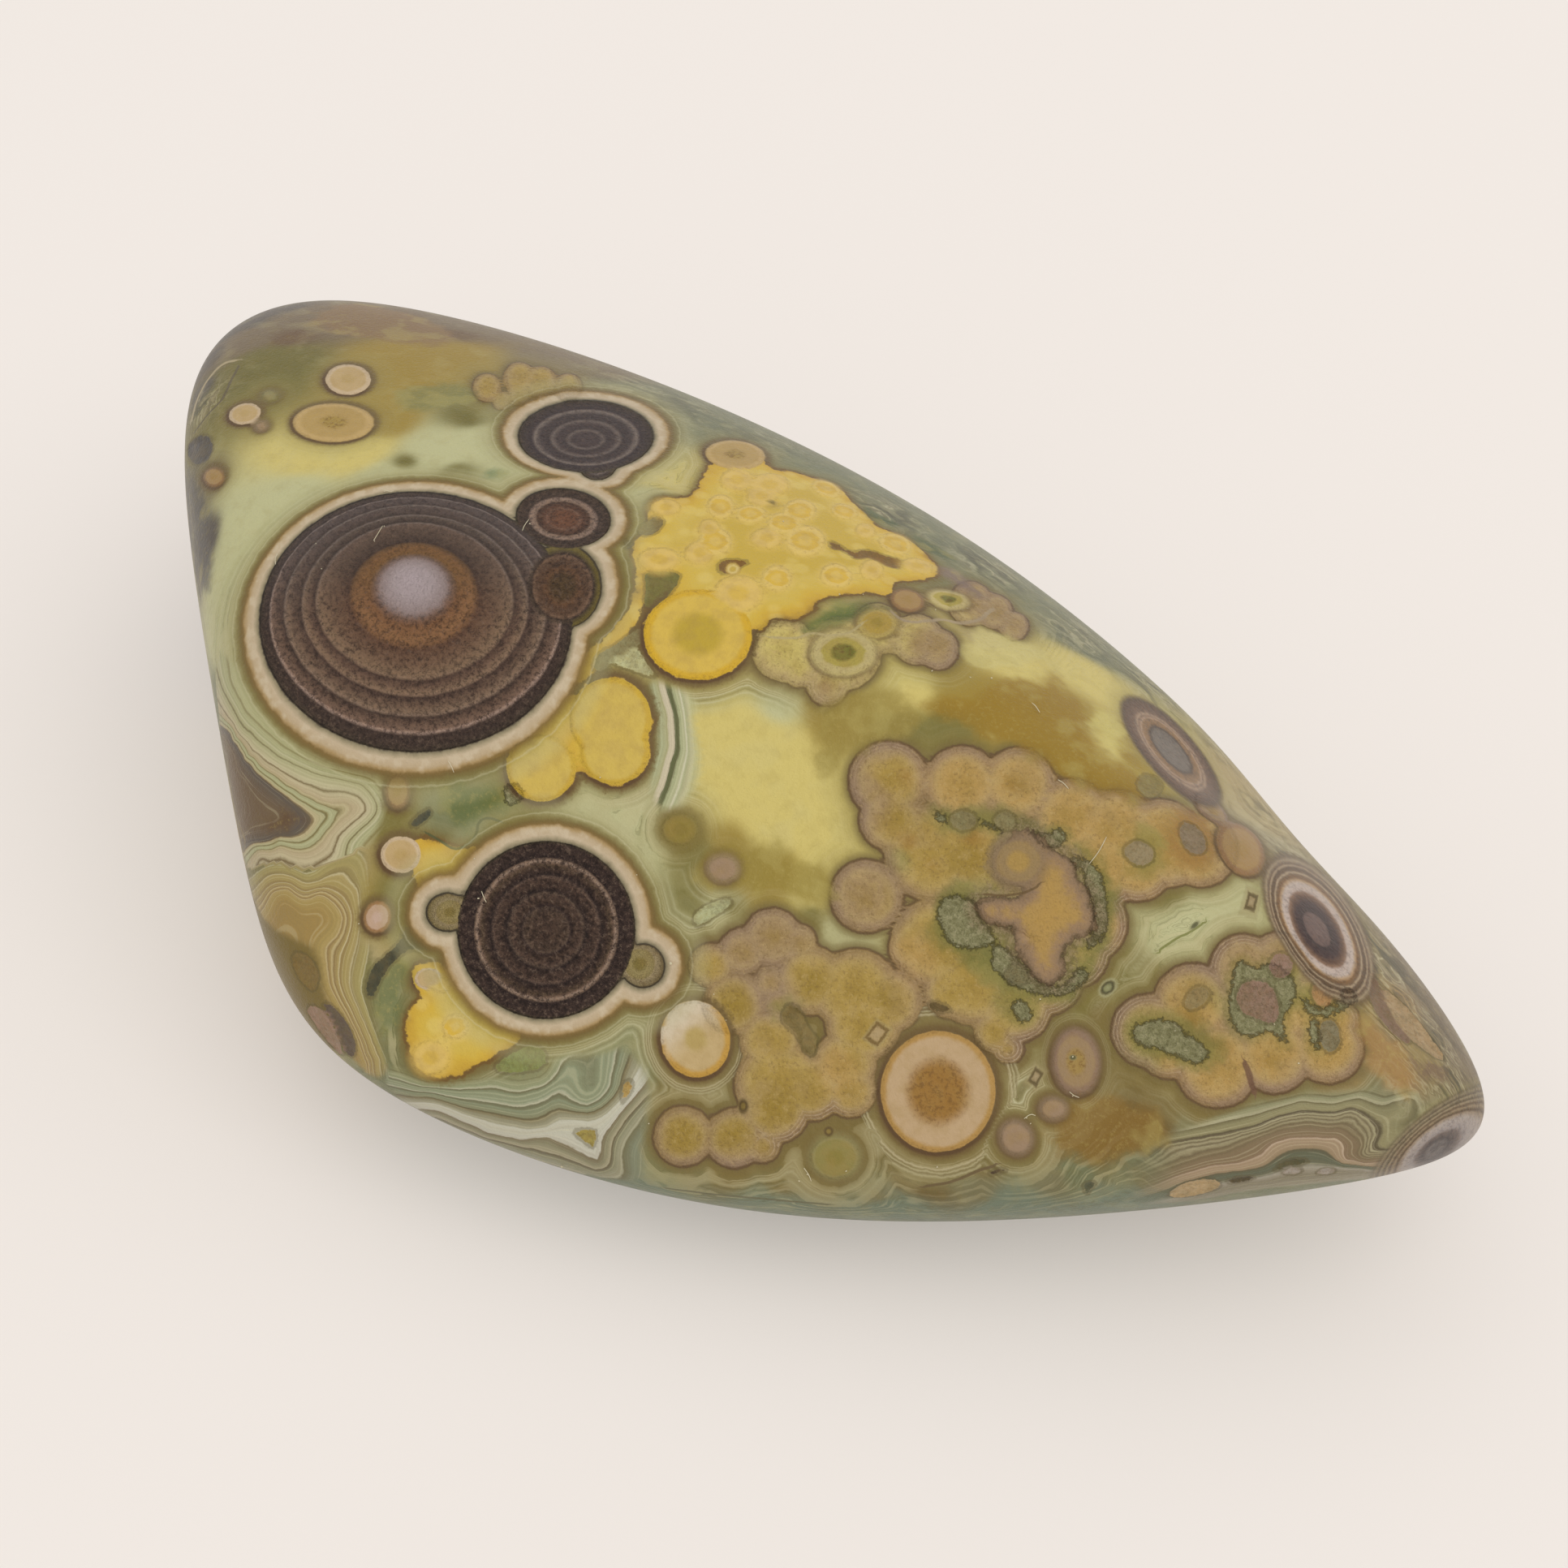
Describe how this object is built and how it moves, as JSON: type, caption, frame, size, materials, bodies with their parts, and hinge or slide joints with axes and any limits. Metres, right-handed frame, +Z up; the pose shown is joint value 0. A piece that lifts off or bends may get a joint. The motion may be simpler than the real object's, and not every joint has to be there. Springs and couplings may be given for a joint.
{
  "type": "gobi agate pebble",
  "caption": "Wind-worn eye agate pebble with a blunt end, a narrow tip and a broad sloping face of ringed eyes and fine bands; rests on a small flat spot.",
  "frame": {"origin": "centre of the stone's box in plan, on the surface that it rests on", "axes": "+X along the stone towards its narrow tip, +Y towards the steep far slope, +Z up; the broad patterned face slopes down towards -Y"},
  "size_m": [0.044, 0.023, 0.0131],
  "materials": {
    "agate": "satin, waxy"
  },
  "bodies": {
    "root": {"agate_pebble": "agate"}
  },
  "joints": []
}
